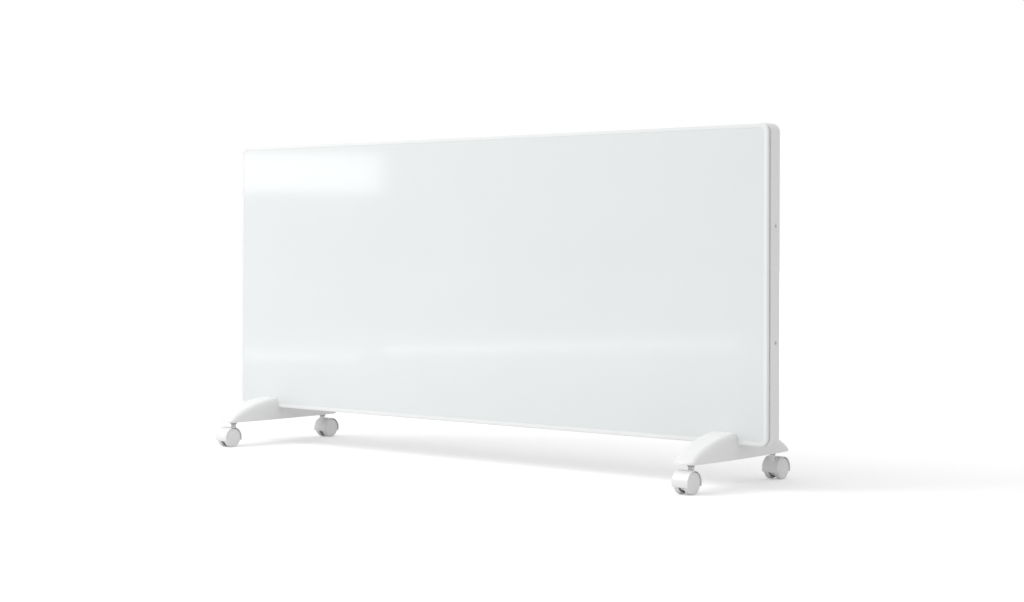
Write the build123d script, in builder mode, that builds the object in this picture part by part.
from build123d import *
from math import sqrt, tanh
import os

os.makedirs("parts", exist_ok=True)

# Glass-fronted convector heater on two saddle feet with swivelling twin-wheel castors.
# Millimetres. X runs along the panel, Y from front to back, Z up from the floor.
# The origin is on the floor, under the middle of the heater's plan outline.

# Panel outline, seen from the front
panel_width = 1000.0
panel_height = 418.0
panel_bottom = 57.2
corner_radius = 12.0

# Layers of the panel, front to back
bezel_thick = 3.5
shadow_gap = 4.0
casing_depth = 23.0
cover_depth = 36.0

# Sheet thicknesses
casing_sheet = 1.5
tray_sheet = 1.0
cover_sheet = 1.0
bracket_sheet = 1.2
shield_sheet = 0.8

# Feet
foot_inset = 66.4
foot_width = 43.0
foot_underside = 38.4
foot_rise = 35.7
foot_overhang = 20.3
foot_wall = 2.5

# Castors
wheel_radius = 14.5
wheel_width = 7.5
castor_trail = 10.0
hood_gap = 0.9
hood_wall = 1.1
front_stem_reach = 90.25
rear_stem_reach = 103.75

# Fits that several pieces share
fit_gap = 0.3
running_gap = 0.05
overrun = 5.0

# Places that follow from the driving sizes
body_depth = bezel_thick + shadow_gap + casing_depth
hood_radius = wheel_radius + hood_gap + hood_wall
past_stem = max(foot_overhang, castor_trail + hood_radius)
front_extent = front_stem_reach + past_stem
rear_extent = rear_stem_reach + past_stem
mid_y = (front_extent - rear_extent) / 2
face_y = mid_y - body_depth / 2
tray_y = face_y + bezel_thick
casing_y = tray_y + shadow_gap
back_y = face_y + body_depth
cover_y = back_y + cover_depth
panel_mid = panel_bottom + panel_height / 2
panel_top = panel_bottom + panel_height
foot_x = panel_width / 2 - foot_inset
front_stem_y = mid_y - front_stem_reach
rear_stem_y = mid_y + rear_stem_reach
foot_y = (front_stem_y + rear_stem_y) / 2
foot_reach = (rear_stem_y - front_stem_y) / 2 + foot_overhang


def wall_plane(y, height):
    """Upright plane across the heater at depth y, centred at a height. Extruding it backwards is negative."""
    return Plane(origin=(0, y, height), x_dir=(1, 0, 0), z_dir=(0, -1, 0))


def end_plane(x, y, height):
    """Upright plane across the heater's ends, facing +X, with its sketch axes along Y and Z."""
    return Plane(origin=(x, y, height), x_dir=(0, 1, 0), z_dir=(1, 0, 0))


# Front bezel: slim frame round the glass
bezel_band = 6.2
bezel_arris = 1.5

with BuildPart() as front_bezel:
    with BuildSketch(wall_plane(face_y, panel_mid)):
        RectangleRounded(panel_width, panel_height, corner_radius)
    extrude(amount=-bezel_thick)
    fillet(front_bezel.faces().sort_by(Axis.Y)[0].edges(), bezel_arris)
    with BuildSketch(wall_plane(face_y, panel_mid)):
        RectangleRounded(
            panel_width - 2 * bezel_band,
            panel_height - 2 * bezel_band,
            corner_radius - bezel_band,
        )
    extrude(amount=-bezel_thick, mode=Mode.SUBTRACT)
front_bezel.part.label = "front_bezel"
export_step(front_bezel.part, "parts/front_bezel.step")

# Glass panel: back-painted safety glass, let into the bezel
glass_thick = 3.0
glass_recess = 0.1
glass_fit = 0.1
glass_arris = 0.2
glass_width = panel_width - 2 * bezel_band - 2 * glass_fit
glass_height = panel_height - 2 * bezel_band - 2 * glass_fit

with BuildPart() as glass_panel:
    with BuildSketch(wall_plane(face_y + glass_recess, panel_mid)):
        RectangleRounded(glass_width, glass_height, corner_radius - bezel_band - glass_fit)
    extrude(amount=-glass_thick)
    chamfer(glass_panel.faces().sort_by(Axis.Y)[0].edges(), glass_arris)
glass_panel.part.label = "glass_panel"
export_step(glass_panel.part, "parts/glass_panel.step")

# Bond strips: adhesive between the glass and the tray
bond_width = 14.0
bond_count = 4
bond_margin = 24.0
bond_thick = bezel_thick - glass_recess - glass_thick
bond_length = glass_width - 2 * bond_margin
bond_pitch = (glass_height - 2 * bond_margin) / (bond_count - 1)

with BuildPart() as bond_strips:
    with BuildSketch(wall_plane(tray_y, panel_mid)):
        with GridLocations(bond_pitch, bond_pitch, 1, bond_count):
            Rectangle(bond_length, bond_width)
    extrude(amount=bond_thick)
bond_strips.part.label = "bond_strips"
export_step(bond_strips.part, "parts/bond_strips.step")

# Screws that hold the casing to the tray, two at each end of the panel
side_screw_margin = 133.5
side_screw_pitch = panel_height - 2 * side_screw_margin
side_screw_radius = 1.9
side_screw_head = 3.4
side_screw_length = 9.0
side_screw_sink = 0.3
side_screw_y = casing_y + casing_depth / 2
recess_width = 0.9
recess_depth = 1.0


def cross_recess(reach, height):
    """Cross-shaped driver recess, cut down from a screw head's top."""
    with BuildSketch(Plane.XY.offset(height)) as cross:
        Rectangle(2 * reach, recess_width)
        Rectangle(recess_width, 2 * reach)
    extrude(cross.sketch, amount=-recess_depth, mode=Mode.SUBTRACT)


with BuildPart() as countersunk_screw:
    Cone(
        side_screw_radius,
        side_screw_head,
        side_screw_head - side_screw_radius,
        align=(Align.CENTER, Align.CENTER, Align.MAX),
    )
    Cylinder(side_screw_radius, side_screw_length, align=(Align.CENTER, Align.CENTER, Align.MAX))
    cross_recess(side_screw_radius, 0)

side_screw_x = panel_width / 2 - side_screw_sink
side_screw_places = [
    Location((side * side_screw_x, side_screw_y, panel_mid + row * side_screw_pitch / 2), (0, side * 90, 0))
    for side in (-1, 1)
    for row in (-1, 1)
]

with BuildPart() as side_screws:
    with Locations(*side_screw_places):
        add(countersunk_screw.part)
side_screws.part.label = "side_screws"
export_step(side_screws.part, "parts/side_screws.step")

# Front tray: shallow sheet tray that carries the glass and nests inside the casing
tray_lap = 5.0
tab_width = 26.0
tray_inset = casing_sheet + fit_gap
tray_width = panel_width - 2 * tray_inset
tray_height = panel_height - 2 * tray_inset
tray_radius = corner_radius - tray_inset
tray_depth = shadow_gap + tray_lap
tab_reach = side_screw_y + side_screw_head + casing_sheet - tray_y

with BuildPart() as front_tray:
    with BuildSketch(wall_plane(tray_y, panel_mid)):
        RectangleRounded(tray_width, tray_height, tray_radius)
    extrude(amount=-tray_depth)
    with BuildSketch(wall_plane(tray_y + tray_sheet, panel_mid)):
        RectangleRounded(
            tray_width - 2 * tray_sheet,
            tray_height - 2 * tray_sheet,
            tray_radius - tray_sheet,
        )
    extrude(amount=-tray_depth, mode=Mode.SUBTRACT)
    with BuildSketch(wall_plane(tray_y, panel_mid)):
        with GridLocations(tray_width - tray_sheet, side_screw_pitch, 2, 2):
            Rectangle(tray_sheet, tab_width)
    extrude(amount=-tab_reach)
    with Locations(*side_screw_places):
        Cylinder(side_screw_radius, 2 * side_screw_length, mode=Mode.SUBTRACT)
front_tray.part.label = "front_tray"
export_step(front_tray.part, "parts/front_tray.step")

# Rear cover: pressed box on the casing's back, over the heating elements
cover_inset = 74.0
cover_margin = 41.0
cover_width = panel_width - 2 * cover_inset
cover_height = panel_height - 2 * cover_margin
cover_flange = 14.0
cover_radius = 16.0
cover_edge = 6.0
cover_ledge = 6.0
window_width = cover_width - 2 * cover_ledge
window_height = cover_height - 2 * cover_ledge
cover_top = panel_mid + cover_height / 2
cover_bottom = panel_mid - cover_height / 2

# Screws on the cover's flange
cover_screw_radius = 2.0
cover_screw_head = 3.9
cover_screw_height = 2.2
cover_screw_length = 8.0
cover_screw_columns = 5
cover_screw_rows = 3
cover_screw_span = cover_width + cover_flange
cover_screw_rise = cover_height + cover_flange
dome_share = 0.6
half_share = 0.5


def pan_screw(head_radius, head_height, shank_radius, length):
    """Pan-head screw, with its head's underside on the XY plane and its shank below it."""
    with BuildPart() as screw:
        Cylinder(head_radius, head_height, align=(Align.CENTER, Align.CENTER, Align.MIN))
        fillet(screw.edges().group_by(Axis.Z)[-1], head_height * dome_share)
        Cylinder(shank_radius, length, align=(Align.CENTER, Align.CENTER, Align.MAX))
        cross_recess(shank_radius, head_height)
    return screw.part


def spaced(span, count):
    """Evenly spaced places over a span, with its middle at zero."""
    return [span * (i / (count - 1) - half_share) for i in range(count)]


def flange_places():
    """Places of the screws round the cover's flange, as X and height above the panel's middle."""
    columns = spaced(cover_screw_span, cover_screw_columns)
    rows = spaced(cover_screw_rise, cover_screw_rows)
    rim = [(x, z) for x in columns for z in (rows[0], rows[-1])]
    ends = [(x, z) for x in (columns[0], columns[-1]) for z in rows[1:-1]]
    return rim + ends


cover_screw_form = pan_screw(cover_screw_head, cover_screw_height, cover_screw_radius, cover_screw_length)

with BuildPart() as cover_screws:
    with Locations(*[
        Location((x, back_y + cover_sheet, panel_mid + z), (-90, 0, 0)) for x, z in flange_places()
    ]):
        add(cover_screw_form)
cover_screws.part.label = "cover_screws"
export_step(cover_screws.part, "parts/cover_screws.step")

# Threaded inserts in the casing's back, for a wall bracket
insert_inset = 32.0
insert_margin = 99.0
insert_span = panel_width - 2 * insert_inset
insert_rise = panel_height - 2 * insert_margin
insert_bore = 2.5
insert_radius = 4.0
insert_flange = 5.5
insert_lip = 0.8
insert_length = 11.0

# Screws and weld nuts that hold each foot to the casing's floor
foot_screw_pitch = 20.0
foot_screw_radius = 2.5
foot_screw_head = 4.75
foot_screw_height = 3.5
foot_screw_seat = 47.0
foot_nut_flats = 9.0
foot_nut_height = 5.0
foot_screw_y = casing_y + casing_depth / 2

# Air slots through the casing's top and floor
slot_width = 5.0
slot_length = 12.0
slot_pitch = 14.0
top_slot_margin = 108.0
floor_slot_margin = 164.0
top_slot_count = 1 + int((panel_width - 2 * top_slot_margin) / slot_pitch)
floor_slot_count = 1 + int((panel_width - 2 * floor_slot_margin) / slot_pitch)
slot_y = back_y - casing_sheet - slot_length / 2 - slot_width / 2

# Rear casing: folded steel tray with a window under the cover
casing_edge = 2.5

with BuildPart() as rear_casing:
    with BuildSketch(wall_plane(casing_y, panel_mid)):
        RectangleRounded(panel_width, panel_height, corner_radius)
    extrude(amount=-casing_depth)
    fillet(rear_casing.faces().sort_by(Axis.Y)[-1].edges(), casing_edge)
    with BuildSketch(wall_plane(casing_y, panel_mid)):
        RectangleRounded(
            panel_width - 2 * casing_sheet,
            panel_height - 2 * casing_sheet,
            corner_radius - casing_sheet,
        )
    extrude(amount=-(casing_depth - casing_sheet), mode=Mode.SUBTRACT)
    with BuildSketch(wall_plane(back_y, panel_mid)):
        RectangleRounded(window_width, window_height, cover_radius - cover_ledge)
        with Locations(*flange_places()):
            Circle(cover_screw_radius)
        with GridLocations(insert_span, insert_rise, 2, 2):
            Circle(insert_radius)
    extrude(amount=2 * casing_sheet, mode=Mode.SUBTRACT)
    with BuildSketch(Plane.XY.offset(panel_top)):
        with Locations((0, slot_y)):
            with GridLocations(slot_pitch, slot_pitch, top_slot_count, 1):
                SlotOverall(slot_length, slot_width, rotation=90)
    extrude(amount=-2 * casing_sheet, mode=Mode.SUBTRACT)
    with BuildSketch(Plane.XY.offset(panel_bottom)):
        with Locations((0, slot_y)):
            with GridLocations(slot_pitch, slot_pitch, floor_slot_count, 1):
                SlotOverall(slot_length, slot_width, rotation=90)
        with Locations((-foot_x, foot_screw_y), (foot_x, foot_screw_y)):
            with GridLocations(foot_screw_pitch, foot_screw_pitch, 2, 1):
                Circle(foot_screw_radius + fit_gap)
    extrude(amount=2 * casing_sheet, mode=Mode.SUBTRACT)
    with Locations(*side_screw_places):
        Cone(
            side_screw_radius,
            side_screw_head,
            side_screw_head - side_screw_radius,
            align=(Align.CENTER, Align.CENTER, Align.MAX),
            mode=Mode.SUBTRACT,
        )
        Cylinder(side_screw_radius, 2 * side_screw_length, mode=Mode.SUBTRACT)
        Cylinder(
            side_screw_head,
            overrun,
            align=(Align.CENTER, Align.CENTER, Align.MIN),
            mode=Mode.SUBTRACT,
        )
rear_casing.part.label = "rear_casing"
export_step(rear_casing.part, "parts/rear_casing.step")

with BuildPart() as insert_form:
    Cylinder(insert_flange, insert_lip, align=(Align.CENTER, Align.CENTER, Align.MIN))
    Cylinder(insert_radius, insert_length, align=(Align.CENTER, Align.CENTER, Align.MAX))
    Cylinder(insert_bore, 2 * insert_length + 2 * overrun, mode=Mode.SUBTRACT)

with BuildPart() as wall_inserts:
    with Locations(*[
        Location((x * insert_span / 2, back_y, panel_mid + z * insert_rise / 2), (-90, 0, 0))
        for x in (-1, 1)
        for z in (-1, 1)
    ]):
        add(insert_form.part)
wall_inserts.part.label = "wall_inserts"
export_step(wall_inserts.part, "parts/wall_inserts.step")

# Control bay behind the right-hand end of the panel
bay_length = 116.0
bay_wall_x = cover_width / 2 - bay_length
bay_x = (bay_wall_x + cover_width / 2) / 2
control_y = back_y + cover_depth / 2 - cover_edge / 2 + cover_sheet

# Control plate on top of the cover
plate_margin = 6.0
plate_length = bay_length - 2 * plate_margin
plate_width = 27.0
plate_thick = 1.2
plate_radius = 4.0
plate_top = cover_top + plate_thick
knob_offset = 26.0
lamp_offset = 2.0
switch_offset = 28.0
knob_x = bay_x - knob_offset
lamp_x = bay_x + lamp_offset
switch_x = bay_x + switch_offset

# Rocker switch
switch_length = 21.0
switch_depth = 15.0
switch_flange = 1.6
switch_body_length = 19.0
switch_body_depth = 13.0
switch_body_height = 16.0
switch_wall = 1.0

# Indicator lamp
lamp_radius = 2.5
lamp_lip = 3.4

# Thermostat
bush_radius = 4.75
bush_height = 3.0

# Cord gland on the cover's back
gland_bore = 3.6
gland_thread = 7.0
gland_head = 10.5
gland_nose = 6.2
gland_length = 20.0
gland_base = 4.0
gland_inside = 8.0
gland_lift = 36.0
gland_x = bay_x
gland_z = cover_bottom + gland_lift

# Louvres pressed into the cover's back, and air slots in its top and floor
louvre_length = 58.0
louvre_height = 7.0
louvre_proud = 3.2
louvre_rows = 3
louvre_pitch_x = 74.0
louvre_margin = 43.0
louvre_pitch_z = 17.0
louvre_inset = 44.0
louvre_x = (bay_wall_x - cover_width / 2) / 2
louvre_span = bay_wall_x + cover_width / 2
louvre_columns = 1 + int((louvre_span - 2 * louvre_margin - louvre_length) / louvre_pitch_x)
cover_slot_margin = 32.0
cover_slot_count = 1 + int((louvre_span - 2 * cover_slot_margin) / slot_pitch)
cover_slot_length = 20.0
cover_slot_y = back_y + cover_depth / 2 - cover_edge / 2

with BuildPart() as louvre_skin:
    with BuildSketch(end_plane(-louvre_length / 2, 0, 0)):
        with BuildLine():
            Polyline((0, 0), (louvre_proud, 0), (0, louvre_height), close=True)
        make_face()
    extrude(amount=louvre_length)

with BuildPart() as louvre_mouth:
    with BuildSketch(end_plane(-louvre_length / 2 + cover_sheet, 0, 0)):
        with BuildLine():
            Polyline(
                (-2 * cover_sheet, 0),
                (louvre_proud - cover_sheet, 0),
                (0, louvre_height - 2 * cover_sheet),
                (-2 * cover_sheet, louvre_height - 2 * cover_sheet),
                close=True,
            )
        make_face()
    extrude(amount=louvre_length - 2 * cover_sheet)

louvre_places = [
    Location((
        louvre_x + (column - (louvre_columns - 1) / 2) * louvre_pitch_x,
        cover_y,
        panel_mid + band * (cover_height / 2 - louvre_inset) + (row - (louvre_rows - 1) / 2) * louvre_pitch_z,
    ))
    for band in (-1, 1)
    for row in range(louvre_rows)
    for column in range(louvre_columns)
]

with BuildPart() as cover_inside:
    with BuildSketch(wall_plane(back_y, panel_mid)):
        RectangleRounded(
            cover_width - 2 * cover_sheet,
            cover_height - 2 * cover_sheet,
            cover_radius - cover_sheet,
        )
    extrude(amount=-(cover_depth - cover_sheet))
    fillet(cover_inside.faces().sort_by(Axis.Y)[-1].edges(), cover_edge - cover_sheet)

with BuildPart() as rear_cover:
    with BuildSketch(wall_plane(back_y, panel_mid)):
        RectangleRounded(cover_width, cover_height, cover_radius)
    extrude(amount=-cover_depth)
    fillet(rear_cover.faces().sort_by(Axis.Y)[-1].edges(), cover_edge)
    with BuildSketch(wall_plane(back_y, panel_mid)):
        RectangleRounded(
            cover_width + 2 * cover_flange,
            cover_height + 2 * cover_flange,
            cover_radius + cover_flange,
        )
    extrude(amount=-cover_sheet)
    add(cover_inside.part, mode=Mode.SUBTRACT)
    with BuildSketch(wall_plane(back_y, panel_mid)):
        with Locations(*flange_places()):
            Circle(cover_screw_radius + fit_gap)
    extrude(amount=-2 * cover_sheet, mode=Mode.SUBTRACT)
    with Locations(*louvre_places):
        add(louvre_skin.part)
    with Locations(*louvre_places):
        add(louvre_mouth.part, mode=Mode.SUBTRACT)
    with BuildSketch(Plane.XY.offset(cover_top)):
        with Locations((louvre_x, cover_slot_y)):
            with GridLocations(slot_pitch, slot_pitch, cover_slot_count, 1):
                SlotOverall(cover_slot_length, slot_width, rotation=90)
        with Locations((knob_x, control_y)):
            Circle(bush_radius + fit_gap)
        with Locations((lamp_x, control_y)):
            Circle(lamp_radius + fit_gap)
        with Locations((switch_x, control_y)):
            Rectangle(switch_body_length + 2 * fit_gap, switch_body_depth + 2 * fit_gap)
    extrude(amount=-2 * cover_sheet, mode=Mode.SUBTRACT)
    with BuildSketch(Plane.XY.offset(cover_bottom)):
        with Locations((louvre_x, cover_slot_y)):
            with GridLocations(slot_pitch, slot_pitch, cover_slot_count, 1):
                SlotOverall(cover_slot_length, slot_width, rotation=90)
    extrude(amount=2 * cover_sheet, mode=Mode.SUBTRACT)
    with BuildSketch(wall_plane(cover_y, gland_z)):
        with Locations((gland_x, 0)):
            Circle(gland_thread)
    extrude(amount=2 * cover_sheet, mode=Mode.SUBTRACT)
rear_cover.part.label = "rear_cover"
export_step(rear_cover.part, "parts/rear_cover.step")

# Cord gland: screwed through the cover, tapering to the cord
with BuildPart() as cord_gland:
    with BuildSketch(Plane(origin=(gland_x, cover_y, gland_z), x_dir=(1, 0, 0), z_dir=(0, 0, 1))):
        with BuildLine():
            Polyline(
                (gland_bore, -cover_sheet - gland_inside),
                (gland_thread, -cover_sheet - gland_inside),
                (gland_thread, 0),
                (gland_head, 0),
                (gland_head, gland_base),
                (gland_nose, gland_length),
                (gland_bore, gland_length),
                close=True,
            )
        make_face()
    revolve(axis=Axis((gland_x, cover_y, gland_z), (0, 1, 0)))
cord_gland.part.label = "cord_gland"
export_step(cord_gland.part, "parts/cord_gland.step")

# Lock nut of the gland, inside the cover
nut_flats = 20.0
nut_thick = 4.0

with BuildPart() as gland_nut:
    with BuildSketch(wall_plane(cover_y - cover_sheet, gland_z)):
        with Locations((gland_x, 0)):
            RegularPolygon(nut_flats / 2, 6, major_radius=False)
            Circle(gland_thread, mode=Mode.SUBTRACT)
    extrude(amount=nut_thick)
gland_nut.part.label = "gland_nut"
export_step(gland_nut.part, "parts/gland_nut.step")

# Control plate
with BuildPart() as control_plate:
    with BuildSketch(Plane.XY.offset(cover_top)):
        with Locations((bay_x, control_y)):
            RectangleRounded(plate_length, plate_width, plate_radius)
        with Locations((knob_x, control_y)):
            Circle(bush_radius + fit_gap, mode=Mode.SUBTRACT)
        with Locations((lamp_x, control_y)):
            Circle(lamp_radius + fit_gap, mode=Mode.SUBTRACT)
        with Locations((switch_x, control_y)):
            Rectangle(
                switch_body_length + 2 * fit_gap,
                switch_body_depth + 2 * fit_gap,
                mode=Mode.SUBTRACT,
            )
    extrude(amount=plate_thick)
control_plate.part.label = "control_plate"
export_step(control_plate.part, "parts/control_plate.step")

# Indicator lamp: domed lens with a stem through the plate
lamp_dome = 1.8
lamp_stem = 9.0

with BuildPart() as indicator_lens:
    with Locations((lamp_x, control_y, plate_top)):
        Cylinder(lamp_lip, lamp_dome, align=(Align.CENTER, Align.CENTER, Align.MIN))
    fillet(indicator_lens.edges().group_by(Axis.Z)[-1], lamp_dome * dome_share)
    with Locations((lamp_x, control_y, plate_top)):
        Cylinder(lamp_radius, lamp_stem, align=(Align.CENTER, Align.CENTER, Align.MAX))
indicator_lens.part.label = "indicator_lens"
export_step(indicator_lens.part, "parts/indicator_lens.step")

# Switch frame: flanged box that the rocker sits in
pivot_radius = 1.2
pivot_drop = 1.5
pivot_z = plate_top - pivot_drop
cavity_depth = 9.0
blade_width = 4.8
blade_thick = 0.8
blade_length = 7.0

with BuildPart() as switch_frame:
    with BuildSketch(Plane.XY.offset(plate_top)):
        with Locations((switch_x, control_y)):
            RectangleRounded(switch_length, switch_depth, switch_wall)
    extrude(amount=switch_flange)
    with BuildSketch(Plane.XY.offset(plate_top)):
        with Locations((switch_x, control_y)):
            Rectangle(switch_body_length, switch_body_depth)
    extrude(amount=-switch_body_height)
    with BuildSketch(Plane.XY.offset(plate_top + switch_flange)):
        with Locations((switch_x, control_y)):
            Rectangle(switch_body_length - 2 * switch_wall, switch_body_depth - 2 * switch_wall)
    extrude(amount=-cavity_depth, mode=Mode.SUBTRACT)
    with Locations((switch_x, control_y, pivot_z)):
        Cylinder(
            pivot_radius + running_gap,
            switch_body_depth - switch_wall + running_gap,
            rotation=(90, 0, 0),
            mode=Mode.SUBTRACT,
        )
    with BuildSketch(Plane.XY.offset(plate_top - switch_body_height)):
        with Locations((switch_x, control_y)):
            with GridLocations(blade_width, blade_width, 3, 1):
                Rectangle(blade_thick, blade_width)
    extrude(amount=-blade_length)
switch_frame.part.label = "switch_frame"
export_step(switch_frame.part, "parts/switch_frame.step")

# Switch rocker: shallow V on two trunnions, resting in its off position
rocker_length = 15.6
rocker_width = switch_body_depth - 2 * switch_wall - 2 * fit_gap
rocker_ends = 4.2
rocker_middle = 2.6
rocker_keel = 3.2
rocker_edge = 0.5
rocker_tilt = 9.0

with BuildPart() as rocker_form:
    with BuildSketch(Plane.XZ.offset(-rocker_width / 2)):
        with BuildLine():
            Polyline(
                (-rocker_length / 2, 0),
                (-rocker_length / 2, pivot_drop + rocker_ends),
                (0, pivot_drop + rocker_middle),
                (rocker_length / 2, pivot_drop + rocker_ends),
                (rocker_length / 2, 0),
                (0, -rocker_keel),
                close=True,
            )
        make_face()
    extrude(amount=rocker_width)
    fillet(rocker_form.edges().filter_by(Axis.Y).group_by(Axis.Z)[-1], rocker_edge)
    Cylinder(pivot_radius, switch_body_depth - switch_wall, rotation=(90, 0, 0))

with BuildPart() as switch_rocker:
    with Locations(Location((switch_x, control_y, pivot_z), (0, -rocker_tilt, 0))):
        add(rocker_form.part)
switch_rocker.part.label = "switch_rocker"
export_step(switch_rocker.part, "parts/switch_rocker.step")

# Thermostat: body under the cover's top, with a bush through the plate
stat_length = 28.0
stat_width = 24.0
stat_height = 18.0
stat_top = cover_top - cover_sheet
bush_top = plate_top + bush_height
spindle_radius = 3.0
spindle_depth = 10.0
stat_blade_pitch = 12.0

with BuildPart() as thermostat_body:
    with BuildSketch(Plane.XY.offset(stat_top)):
        with Locations((knob_x, control_y)):
            RectangleRounded(stat_length, stat_width, switch_wall)
    extrude(amount=-stat_height)
    with BuildSketch(Plane.XY.offset(stat_top)):
        with Locations((knob_x, control_y)):
            Circle(bush_radius)
    extrude(amount=bush_top - stat_top)
    with BuildSketch(Plane.XY.offset(bush_top)):
        with Locations((knob_x, control_y)):
            Circle(spindle_radius + running_gap)
    extrude(amount=-(bush_top - stat_top + spindle_depth + running_gap), mode=Mode.SUBTRACT)
    with BuildSketch(Plane.XY.offset(stat_top - stat_height)):
        with Locations((knob_x, control_y)):
            with GridLocations(stat_blade_pitch, stat_blade_pitch, 2, 1):
                Rectangle(blade_thick, blade_width)
    extrude(amount=-blade_length)
thermostat_body.part.label = "thermostat_body"
export_step(thermostat_body.part, "parts/thermostat_body.step")

# Thermostat knob: ribbed skirt, hollow under the bush, with a pointer ridge on top
knob_radius = 10.0
knob_height = 12.0
knob_lift = 0.8
knob_edge = 1.2
knob_skirt = 2.0
knob_crown = 2.5
grip_count = 18
grip_radius = 0.7
pointer_width = 1.6
pointer_rise = 0.8
knob_travel = 270.0
knob_base = plate_top + knob_lift
knob_top = knob_base + knob_height
spindle_top = knob_top - knob_crown

with BuildPart() as thermostat_knob:
    with Locations((knob_x, control_y, knob_base)):
        Cylinder(knob_radius, knob_height, align=(Align.CENTER, Align.CENTER, Align.MIN))
    fillet(thermostat_knob.edges().group_by(Axis.Z)[-1], knob_edge)
    with BuildSketch(Plane.XY.offset(knob_base)):
        with Locations((knob_x, control_y)):
            with PolarLocations(knob_radius, grip_count):
                Circle(grip_radius)
    extrude(amount=knob_height - 2 * knob_edge, mode=Mode.SUBTRACT)
    with BuildSketch(Plane.XY.offset(knob_base)):
        with Locations((knob_x, control_y)):
            Circle(bush_radius + knob_skirt)
    extrude(amount=bush_height, mode=Mode.SUBTRACT)
    with BuildSketch(Plane.XY.offset(knob_base)):
        with Locations((knob_x, control_y)):
            Circle(spindle_radius)
    extrude(amount=spindle_top - knob_base, mode=Mode.SUBTRACT)
    with BuildSketch(Plane.XY.offset(knob_top)):
        with Locations(Location((knob_x, control_y, 0), (0, 0, knob_travel / 2))):
            Rectangle(pointer_width, knob_radius - 2 * knob_edge, align=(Align.CENTER, Align.MIN))
    extrude(amount=pointer_rise)
thermostat_knob.part.label = "thermostat_knob"
export_step(thermostat_knob.part, "parts/thermostat_knob.step")

# Thermostat spindle, pressed into the knob
with BuildPart() as thermostat_spindle:
    with BuildSketch(Plane.XY.offset(stat_top - spindle_depth)):
        with Locations((knob_x, control_y)):
            Circle(spindle_radius)
    extrude(amount=spindle_top - stat_top + spindle_depth)
thermostat_spindle.part.label = "thermostat_spindle"
export_step(thermostat_spindle.part, "parts/thermostat_spindle.step")

# The heating chamber lies between two end plates that carry the heating rods
end_plate_inset = 34.0
end_plate_x = end_plate_inset - cover_width / 2
chamber_x = (end_plate_x + bay_wall_x) / 2
chamber_length = bay_wall_x - end_plate_x

# Heating elements: extruded aluminium with four wings round a heating rod
element_gap = 36.0
element_length = chamber_length - 2 * element_gap
element_pitch_share = 0.321
element_drop_share = 0.105
element_pitch = element_pitch_share * window_height
element_drop = element_drop_share * window_height
element_wing = 27.0
element_wing_thick = 1.4
element_tube = 6.5
rod_radius = 4.0
wing_angle = 42.0
element_y = back_y + cover_depth / 2 - casing_depth / 2
element_heights = (
    panel_mid - element_drop - element_pitch / 2,
    panel_mid - element_drop + element_pitch / 2,
)


def winged_element(height):
    """Winged aluminium extrusion round a rod at a height."""
    with BuildPart() as element:
        with BuildSketch(end_plane(chamber_x - element_length / 2, element_y, height)):
            Circle(element_tube)
            for angle in (wing_angle, 180 - wing_angle):
                Rectangle(2 * element_wing, element_wing_thick, rotation=angle)
            Circle(rod_radius, mode=Mode.SUBTRACT)
        extrude(amount=element_length)
    return element.part


for piece_name, height in zip(("heating_element_lower", "heating_element_upper"), element_heights):
    with BuildPart() as heating_element:
        add(winged_element(height))
    heating_element.part.label = piece_name
    export_step(heating_element.part, f"parts/{piece_name}.step")

# End plates: the partition at the control bay, and its mirror at the far end
end_plate_stand = 6.0
end_plate_front = tray_y + tray_sheet + end_plate_stand
end_plate_back = cover_y - cover_sheet - fit_gap
end_plate_clear = 3.0
end_plate_tab = 12.0
bush_hole = 7.0
plate_inner_y = back_y - casing_sheet


def end_plate(x, outward):
    """Upright plate across the chamber, with two feet turned outwards onto the casing's back."""
    inner_height = window_height - 2 * end_plate_clear
    outer_height = inner_height + 2 * (cover_ledge + end_plate_tab)
    with BuildPart() as plate:
        with BuildSketch(end_plane(x, 0, panel_mid)):
            with Locations(((end_plate_front + end_plate_back) / 2, 0)):
                Rectangle(end_plate_back - end_plate_front, inner_height)
            with Locations(((end_plate_front + plate_inner_y) / 2, 0)):
                Rectangle(plate_inner_y - end_plate_front, outer_height)
            for height in element_heights:
                with Locations((element_y, height - panel_mid)):
                    Circle(bush_hole, mode=Mode.SUBTRACT)
        extrude(amount=outward * bracket_sheet)
        foot_height = (outer_height - window_height) / 2
        for side in (-1, 1):
            with BuildSketch(wall_plane(plate_inner_y, panel_mid)):
                with Locations((x + outward * end_plate_tab / 2, side * (outer_height - foot_height) / 2)):
                    Rectangle(end_plate_tab, foot_height)
            extrude(amount=bracket_sheet)
    return plate.part


with BuildPart() as bay_partition:
    add(end_plate(bay_wall_x, 1))
bay_partition.part.label = "bay_partition"
export_step(bay_partition.part, "parts/bay_partition.step")

with BuildPart() as far_end_plate:
    add(end_plate(end_plate_x, -1))
far_end_plate.part.label = "far_end_plate"
export_step(far_end_plate.part, "parts/far_end_plate.step")

# Heating rods, with a terminal stud at each end
rod_overhang = 12.0
stud_radius = 2.0
stud_length = 10.0
rod_start = end_plate_x - bracket_sheet - rod_overhang
rod_end = bay_wall_x + bracket_sheet + rod_overhang

with BuildPart() as heating_rods:
    for height in element_heights:
        with BuildSketch(end_plane(rod_start, element_y, height)):
            Circle(rod_radius)
        extrude(amount=rod_end - rod_start)
        with BuildSketch(end_plane(rod_start - stud_length, element_y, height)):
            Circle(stud_radius)
        extrude(amount=rod_end - rod_start + 2 * stud_length)
heating_rods.part.label = "heating_rods"
export_step(heating_rods.part, "parts/heating_rods.step")

# Ceramic bushes round the rods in the end plates
bush_collar = 9.5
bush_collar_thick = 2.0
bush_length = 8.0

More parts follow.
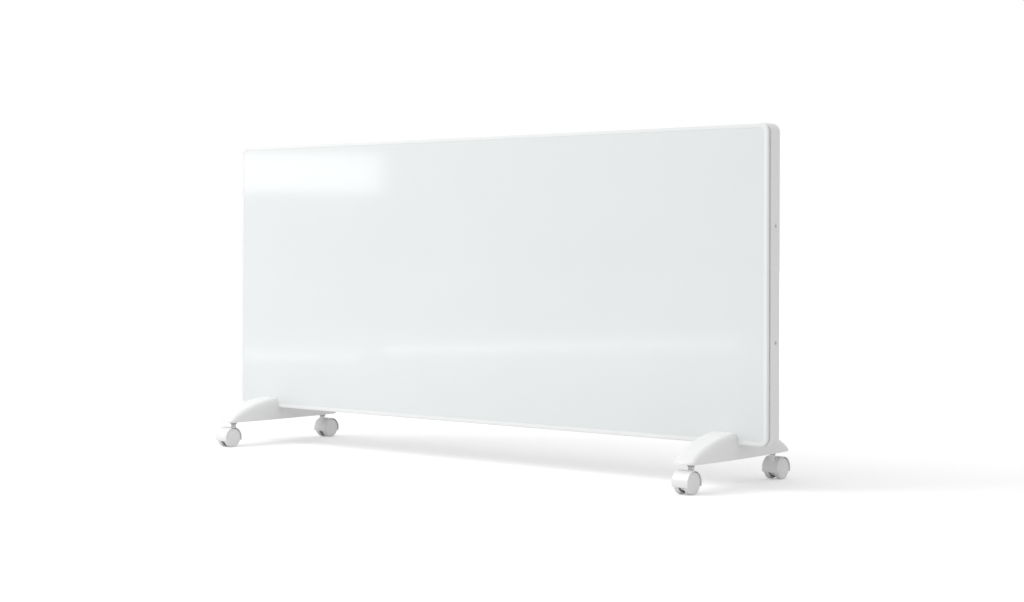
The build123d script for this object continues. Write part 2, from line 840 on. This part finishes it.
with BuildPart() as ceramic_bushes:
    for x, outward in ((bay_wall_x, 1), (end_plate_x, -1)):
        for height in element_heights:
            with BuildSketch(end_plane(x, element_y, height)):
                Circle(bush_hole)
            extrude(amount=outward * bush_length)
            with BuildSketch(end_plane(x, element_y, height)):
                Circle(bush_collar)
            extrude(amount=-outward * bush_collar_thick)
    for height in element_heights:
        with BuildSketch(end_plane(rod_start, element_y, height)):
            Circle(rod_radius)
        extrude(amount=rod_end - rod_start, mode=Mode.SUBTRACT)
ceramic_bushes.part.label = "ceramic_bushes"
export_step(ceramic_bushes.part, "parts/ceramic_bushes.step")

# Heat shield: bright sheet between the elements and the tray, standing on its folded edges
shield_gap = 19.0
shield_margin = 12.0
shield_length = chamber_length - 2 * shield_gap
shield_height = window_height - 2 * shield_margin
shield_stand = 4.0
shield_front = tray_y + tray_sheet

with BuildPart() as heat_shield:
    with BuildSketch(wall_plane(shield_front, panel_mid)):
        with Locations((chamber_x, 0)):
            Rectangle(shield_length, shield_height)
    extrude(amount=-(shield_stand + shield_sheet))
    with BuildSketch(wall_plane(shield_front, panel_mid)):
        with Locations((chamber_x, 0)):
            Rectangle(shield_length + 2 * overrun, shield_height - 2 * shield_sheet)
    extrude(amount=-shield_stand, mode=Mode.SUBTRACT)
heat_shield.part.label = "heat_shield"
export_step(heat_shield.part, "parts/heat_shield.step")

# Thermal cut-out on the hot side of the partition
cutout_radius = 8.0
cutout_depth = 7.0
cutout_flange = 12.0
cutout_flange_thick = 1.0
cutout_lift = 84.0

with BuildPart() as thermal_cutout:
    with BuildSketch(end_plane(bay_wall_x, element_y, panel_mid + cutout_lift)):
        SlotOverall(2 * cutout_flange, cutout_radius, rotation=90)
        Circle(cutout_radius)
    extrude(amount=-cutout_flange_thick)
    with BuildSketch(end_plane(bay_wall_x, element_y, panel_mid + cutout_lift)):
        Circle(cutout_radius)
    extrude(amount=-cutout_depth)
    with BuildSketch(end_plane(bay_wall_x - cutout_depth, element_y, panel_mid + cutout_lift)):
        with GridLocations(cutout_radius, cutout_radius, 2, 1):
            Rectangle(blade_thick, blade_width)
    extrude(amount=-blade_length)
thermal_cutout.part.label = "thermal_cutout"
export_step(thermal_cutout.part, "parts/thermal_cutout.step")

# Room sensor: bulb in a clip on the bay side of the partition, low down in the incoming air
bulb_radius = 3.0
bulb_length = 52.0
clip_width = 9.0
clip_height = 10.0
bulb_lift = 44.0
bay_face_x = bay_wall_x + bracket_sheet
bulb_x = bay_face_x + bulb_radius + fit_gap
bulb_y = end_plate_front + clip_width
bulb_z = cover_bottom + bulb_lift

with BuildPart() as room_sensor:
    with BuildSketch(Plane.XY.offset(bulb_z)):
        with Locations((bulb_x, bulb_y)):
            Circle(bulb_radius)
    extrude(amount=bulb_length)
    with BuildSketch(end_plane(bay_face_x, bulb_y, bulb_z + bulb_length / 2)):
        Rectangle(clip_width, clip_height)
    extrude(amount=2 * bulb_radius + 2 * fit_gap)
room_sensor.part.label = "room_sensor"
export_step(room_sensor.part, "parts/room_sensor.step")

# Terminal block and its clamp screws, on the bay side of the partition
block_depth = 16.0
block_width = 22.0
block_pole = 12.0
pole_count = 3
block_offset = 4.0
block_y = element_y - block_offset
block_z = panel_mid - element_drop
clamp_radius = 2.2
clamp_pitch = 12.0
clamp_height = 6.0
clamp_sink = 2.0

with BuildPart() as terminal_block:
    with BuildSketch(end_plane(bay_face_x, block_y, block_z)):
        Rectangle(block_width, pole_count * block_pole)
    extrude(amount=block_depth)
    with BuildSketch(end_plane(bay_face_x + block_depth, block_y, block_z)):
        with GridLocations(clamp_pitch, block_pole, 2, pole_count):
            Circle(clamp_radius)
    extrude(amount=-(clamp_height + clamp_sink), mode=Mode.SUBTRACT)
terminal_block.part.label = "terminal_block"
export_step(terminal_block.part, "parts/terminal_block.step")

with BuildPart() as terminal_screws:
    with BuildSketch(end_plane(bay_face_x + block_depth - clamp_sink, block_y, block_z)):
        with GridLocations(clamp_pitch, block_pole, 2, pole_count):
            Circle(clamp_radius)
    extrude(amount=-clamp_height)
    with BuildSketch(end_plane(bay_face_x + block_depth - clamp_sink, block_y, block_z)):
        with GridLocations(clamp_pitch, block_pole, 2, pole_count):
            Rectangle(2 * clamp_radius, recess_width)
    extrude(amount=-recess_depth, mode=Mode.SUBTRACT)
terminal_screws.part.label = "terminal_screws"
export_step(terminal_screws.part, "parts/terminal_screws.step")

# Tip-over switch: housing with a weight that swings on a pin when the heater tilts
tip_depth = 18.0
tip_width = 32.0
tip_height = 38.0
tip_wall = 2.0
tip_offset = 4.0
tip_lift = 34.0
tip_y = element_y + tip_offset
tip_z = cover_bottom + tip_lift
tip_pin_radius = 1.0
tip_pin_drop = 8.0
tip_pin_z = tip_z + tip_height / 2 - tip_pin_drop
tip_arm = 12.0
tip_weight = 5.5
tip_weight_length = 9.0
tip_arm_width = 4.0
tip_hub = 2.6
tip_weight_x = bay_face_x + tip_wall + (tip_depth - tip_wall - tip_weight_length) / 2

with BuildPart() as tip_over_housing:
    with BuildSketch(end_plane(bay_face_x, tip_y, tip_z)):
        RectangleRounded(tip_width, tip_height, tip_wall)
    extrude(amount=tip_depth)
    with BuildSketch(end_plane(bay_face_x + tip_wall, tip_y, tip_z)):
        Rectangle(tip_width - 2 * tip_wall, tip_height - 2 * tip_wall)
    extrude(amount=tip_depth, mode=Mode.SUBTRACT)
    with BuildSketch(end_plane(bay_face_x, tip_y, tip_pin_z)):
        Circle(tip_pin_radius)
    extrude(amount=tip_wall, mode=Mode.SUBTRACT)
tip_over_housing.part.label = "tip_over_housing"
export_step(tip_over_housing.part, "parts/tip_over_housing.step")

with BuildPart() as tip_over_pin:
    with BuildSketch(end_plane(bay_face_x, tip_y, tip_pin_z)):
        Circle(tip_pin_radius)
    extrude(amount=tip_depth)
tip_over_pin.part.label = "tip_over_pin"
export_step(tip_over_pin.part, "parts/tip_over_pin.step")

with BuildPart() as tip_over_weight:
    with BuildSketch(end_plane(tip_weight_x, tip_y, tip_pin_z)):
        Circle(tip_hub)
        with Locations((0, -tip_arm / 2)):
            Rectangle(tip_arm_width, tip_arm)
        with Locations((0, -tip_arm)):
            Circle(tip_weight)
        Circle(tip_pin_radius + running_gap, mode=Mode.SUBTRACT)
    extrude(amount=tip_weight_length)
tip_over_weight.part.label = "tip_over_weight"
export_step(tip_over_weight.part, "parts/tip_over_weight.step")

# Feet: arched saddle moulding, a little narrower towards both blunt tips, rounded along its top edges
foot_nose = 7.0
foot_lip = 1.0
foot_shoulder = 8.0
foot_crown = 11.5
arch_share = 0.76
taper_share = 0.26
corner_share = 0.9
quarter_turn = 90.0
station_shares = (0, 0.3, 0.55, 0.72, 0.84, 0.92, 0.955, 0.974, 0.987, 0.9945, 0.9985, 0.9999)
cavity_share = 0.81
cavity_inset = 14.0
foot_plate_thick = 1.5
waist_skin = 2.5
boss_floor = foot_underside + foot_plate_thick
socket_radius = 4.5
socket_boss = 7.0
socket_height = 8.0
screw_boss = 7.2


def arch_station(distance):
    """Half width and crest height of the arch, at a distance along the foot from its middle."""
    out = abs(distance) / foot_reach
    past = max(abs(distance) - (foot_reach - foot_nose), 0) / foot_nose
    half_width = foot_width / 2 * (1 - taper_share * out ** 3) * sqrt(1 - past ** 2)
    rise = (foot_rise - foot_lip) * (1 - out ** 2) ** arch_share
    return half_width, rise + foot_lip


with BuildPart() as foot_outside:
    for share in [-share for share in reversed(station_shares[1:])] + list(station_shares):
        half_width, rise = arch_station(share * foot_reach)
        round_x = foot_shoulder * tanh(corner_share * half_width / foot_shoulder)
        round_z = foot_crown * tanh(corner_share * rise / foot_crown)
        flat_x = half_width - round_x
        side_z = rise - round_z
        with BuildSketch(wall_plane(foot_y + share * foot_reach, foot_underside)):
            with BuildLine():
                Line((-half_width, 0), (half_width, 0))
                Line((half_width, 0), (half_width, side_z))
                EllipticalCenterArc((flat_x, side_z), round_x, round_z, arc_size=quarter_turn)
                Line((flat_x, rise), (-flat_x, rise))
                EllipticalCenterArc(
                    (-flat_x, side_z),
                    round_x,
                    round_z,
                    start_angle=quarter_turn,
                    arc_size=quarter_turn,
                )
                Line((-half_width, side_z), (-half_width, 0))
            make_face()
    loft()

foot_screw_spots = [(-foot_screw_pitch / 2, foot_screw_y), (foot_screw_pitch / 2, foot_screw_y)]
stem_spots = [(0, front_stem_y), (0, rear_stem_y)]
cavity_reach = foot_reach - cavity_inset
cavity_width = foot_width - 2 * foot_wall
cavity_rise = cavity_share * foot_rise - foot_wall

with BuildPart() as foot_core:
    with BuildSketch(end_plane(-cavity_width / 2, foot_y, foot_underside)):
        Ellipse(cavity_reach, cavity_rise)
        with Locations((0, -cavity_rise / 2)):
            Rectangle(2 * cavity_reach, cavity_rise, mode=Mode.SUBTRACT)
    extrude(amount=cavity_width)
    with BuildSketch(Plane.XY.offset(foot_underside)):
        with Locations((0, foot_y)):
            Ellipse(cavity_width / 2, cavity_reach)
    extrude(amount=foot_rise, mode=Mode.INTERSECT)
    with BuildSketch(Plane.XY.offset(panel_bottom - waist_skin)):
        with Locations((0, mid_y)):
            Rectangle(foot_width, body_depth + 2 * foot_wall)
    extrude(amount=foot_rise, mode=Mode.SUBTRACT)

with BuildPart() as foot_bosses:
    with BuildSketch(Plane.XY.offset(boss_floor)):
        with Locations(*foot_screw_spots):
            Circle(screw_boss)
        with Locations(*stem_spots):
            Circle(socket_boss)
    extrude(amount=foot_rise)
    add(foot_core.part, mode=Mode.INTERSECT)

with BuildPart() as foot_form:
    add(foot_outside.part)
    add(foot_core.part, mode=Mode.SUBTRACT)
    add(foot_bosses.part)
    with BuildSketch(Plane.XY.offset(panel_bottom)):
        with Locations((0, mid_y)):
            Rectangle(2 * foot_width, body_depth)
    extrude(amount=foot_rise, mode=Mode.SUBTRACT)
    with BuildSketch(Plane.XY.offset(boss_floor)):
        with Locations(*stem_spots):
            Circle(socket_radius)
    extrude(amount=socket_height - foot_plate_thick, mode=Mode.SUBTRACT)
    with BuildSketch(Plane.XY.offset(boss_floor)):
        with Locations(*foot_screw_spots):
            Circle(foot_screw_head + fit_gap)
    extrude(amount=foot_screw_seat - boss_floor, mode=Mode.SUBTRACT)
    with BuildSketch(Plane.XY.offset(boss_floor)):
        with Locations(*foot_screw_spots):
            Circle(foot_screw_radius + fit_gap)
    extrude(amount=foot_rise, mode=Mode.SUBTRACT)

with BuildPart() as foot_plate_form:
    with BuildSketch(Plane.XY.offset(foot_underside)):
        with Locations((0, foot_y)):
            Ellipse(cavity_width / 2 - fit_gap, cavity_reach - 2 * fit_gap)
        with Locations(*stem_spots):
            Circle(socket_radius, mode=Mode.SUBTRACT)
        with Locations(*foot_screw_spots):
            Circle(foot_screw_head + fit_gap, mode=Mode.SUBTRACT)
    extrude(amount=foot_plate_thick)

for side_name, side in (("left", -1), ("right", 1)):
    with BuildPart() as foot:
        with Locations((side * foot_x, 0)):
            add(foot_form.part)
    foot.part.label = f"foot_{side_name}"
    export_step(foot.part, f"parts/foot_{side_name}.step")
    with BuildPart() as foot_plate:
        with Locations((side * foot_x, 0)):
            add(foot_plate_form.part)
    foot_plate.part.label = f"foot_plate_{side_name}"
    export_step(foot_plate.part, f"parts/foot_plate_{side_name}.step")

# Foot screws, driven upwards into the weld nuts
foot_screw_length = panel_bottom + casing_sheet + foot_nut_height - foot_screw_seat
foot_screw_form = pan_screw(foot_screw_head, foot_screw_height, foot_screw_radius, foot_screw_length)

with BuildPart() as foot_screws:
    with Locations(*[
        Location((side * foot_x + x, y, foot_screw_seat), (180, 0, 0))
        for side in (-1, 1)
        for x, y in foot_screw_spots
    ]):
        add(foot_screw_form)
foot_screws.part.label = "foot_screws"
export_step(foot_screws.part, "parts/foot_screws.step")

with BuildPart() as foot_nuts:
    with BuildSketch(Plane.XY.offset(panel_bottom + casing_sheet)):
        with Locations((-foot_x, foot_screw_y), (foot_x, foot_screw_y)):
            with GridLocations(foot_screw_pitch, foot_screw_pitch, 2, 1):
                RegularPolygon(foot_nut_flats / 2, 6, major_radius=False)
        with Locations((-foot_x, foot_screw_y), (foot_x, foot_screw_y)):
            with GridLocations(foot_screw_pitch, foot_screw_pitch, 2, 1):
                Circle(foot_screw_radius, mode=Mode.SUBTRACT)
    extrude(amount=foot_nut_height)
foot_nuts.part.label = "foot_nuts"
export_step(foot_nuts.part, "parts/foot_nuts.step")

# Castor sockets: collared sleeves pressed up into the feet
stem_radius = 3.0
socket_flange = 6.0
socket_lip = 4.2
socket_band = 1.8
neck_radius = 4.2
stem_end_gap = 0.5

with BuildPart() as socket_form:
    with BuildSketch(Plane.XY.offset(foot_underside)):
        Circle(socket_radius)
    extrude(amount=socket_height)
    with BuildSketch(Plane.XY.offset(foot_underside)):
        Circle(socket_flange)
    extrude(amount=-socket_band)
    with BuildSketch(Plane.XY.offset(foot_underside - socket_band)):
        Circle(socket_flange)
    with BuildSketch(Plane.XY.offset(foot_underside - socket_lip)):
        Circle(neck_radius)
    loft()
    with BuildSketch(Plane.XY.offset(foot_underside - socket_lip)):
        Circle(stem_radius + running_gap)
    extrude(amount=socket_lip + socket_height - stem_end_gap, mode=Mode.SUBTRACT)

with BuildPart() as castor_sockets:
    with Locations(*[(side * foot_x, y) for side in (-1, 1) for x, y in stem_spots]):
        add(socket_form.part)
castor_sockets.part.label = "castor_sockets"
export_step(castor_sockets.part, "parts/castor_sockets.step")

# Castor hood: arched shell over both wheels, with a web between them and a neck for the stem
web_width = 7.6
wheel_side_gap = 0.3
wheel_recess = 0.8
web_radius = 10.5
neck_gap = 0.5
neck_top = foot_underside - socket_lip - neck_gap
hood_bottom = 10.0
axle_radius = 1.5
stem_bottom = 27.0
hood_width = web_width + 2 * wheel_side_gap + 2 * wheel_width + 2 * wheel_recess
hood_edge = 0.5

with BuildPart() as hood_form:
    with BuildSketch(end_plane(-hood_width / 2, -castor_trail, wheel_radius)):
        Circle(hood_radius)
    extrude(amount=hood_width)
    fillet(hood_form.edges().filter_by(GeomType.CIRCLE), hood_edge)
    with BuildSketch(Plane.XY.offset(wheel_radius)):
        Circle(neck_radius)
    extrude(amount=neck_top - wheel_radius)
    for side in (-1, 1):
        with BuildSketch(end_plane(side * web_width / 2, -castor_trail, wheel_radius)):
            Circle(wheel_radius + hood_gap)
        extrude(amount=side * hood_width, mode=Mode.SUBTRACT)
    with BuildSketch(end_plane(-web_width / 2, -castor_trail, wheel_radius)):
        Circle(wheel_radius + hood_gap)
        Circle(web_radius, mode=Mode.SUBTRACT)
        with Locations((0, wheel_radius)):
            Rectangle(2 * hood_radius, 2 * wheel_radius, mode=Mode.SUBTRACT)
    extrude(amount=web_width, mode=Mode.SUBTRACT)
    with BuildSketch(end_plane(-hood_width / 2, -castor_trail, hood_bottom)):
        with Locations((0, -hood_radius / 2)):
            Rectangle(2 * hood_radius, hood_radius)
        with Locations((0, wheel_radius - hood_bottom)):
            Circle(web_radius, mode=Mode.SUBTRACT)
    extrude(amount=hood_width, mode=Mode.SUBTRACT)
    with BuildSketch(end_plane(-web_width / 2, -castor_trail, wheel_radius)):
        Circle(axle_radius)
    extrude(amount=web_width, mode=Mode.SUBTRACT)
    with BuildSketch(Plane.XY.offset(stem_bottom)):
        Circle(stem_radius)
    extrude(amount=neck_top - stem_bottom, mode=Mode.SUBTRACT)

# Castor stem, pressed into the hood and turning in its socket
stem_top = foot_underside + socket_height - 2 * stem_end_gap

with BuildPart() as stem_form:
    with BuildSketch(Plane.XY.offset(stem_bottom)):
        Circle(stem_radius)
    extrude(amount=stem_top - stem_bottom)

# Castor axle, pressed through the web
wheel_skin = 1.5
axle_reach = web_width / 2 + wheel_side_gap + wheel_width - wheel_skin - wheel_side_gap

with BuildPart() as axle_form:
    with BuildSketch(end_plane(-axle_reach, -castor_trail, wheel_radius)):
        Circle(axle_radius)
    extrude(amount=2 * axle_reach)

# Castor wheel: flat disc with a rounded tread, hollowed from its inner side
wheel_edge = 1.6
wheel_hub = 4.0
wheel_rim = 2.2
wheel_inner_x = web_width / 2 + wheel_side_gap
groove_radius = 11.0
groove_size = 0.5


def castor_wheel(side):
    """One wheel of a castor, on the side of the web that side gives."""
    with BuildPart() as wheel:
        with BuildSketch(end_plane(side * wheel_inner_x, -castor_trail, wheel_radius)):
            Circle(wheel_radius)
        extrude(amount=side * wheel_width)
        fillet(wheel.edges().filter_by(GeomType.CIRCLE), wheel_edge)
        with BuildSketch(end_plane(side * wheel_inner_x, -castor_trail, wheel_radius)):
            Circle(wheel_radius - wheel_rim)
            Circle(wheel_hub, mode=Mode.SUBTRACT)
        extrude(amount=side * (wheel_width - wheel_rim), mode=Mode.SUBTRACT)
        with BuildSketch(end_plane(side * wheel_inner_x, -castor_trail, wheel_radius)):
            Circle(axle_radius + running_gap)
        extrude(amount=side * (wheel_width - wheel_skin), mode=Mode.SUBTRACT)
        with BuildSketch(end_plane(side * (wheel_inner_x + wheel_width), -castor_trail, wheel_radius)):
            Circle(groove_radius)
            Circle(groove_radius - groove_size, mode=Mode.SUBTRACT)
        extrude(amount=-side * groove_size, mode=Mode.SUBTRACT)
    return wheel.part


# Four castors: the front pair trails forwards, the rear pair backwards
castor_forms = (
    ("castor_hood", hood_form.part),
    ("castor_stem", stem_form.part),
    ("castor_axle", axle_form.part),
    ("castor_wheel_a", castor_wheel(-1)),
    ("castor_wheel_b", castor_wheel(1)),
)
castor_places = (
    ("front_left", -foot_x, front_stem_y, 0),
    ("front_right", foot_x, front_stem_y, 0),
    ("rear_left", -foot_x, rear_stem_y, 180),
    ("rear_right", foot_x, rear_stem_y, 180),
)

for corner, x, y, turn in castor_places:
    for form_name, form in castor_forms:
        with BuildPart() as castor_piece:
            with Locations(Location((x, y, 0), (0, 0, turn))):
                add(form)
        castor_piece.part.label = f"{form_name}_{corner}"
        export_step(castor_piece.part, f"parts/{form_name}_{corner}.step")
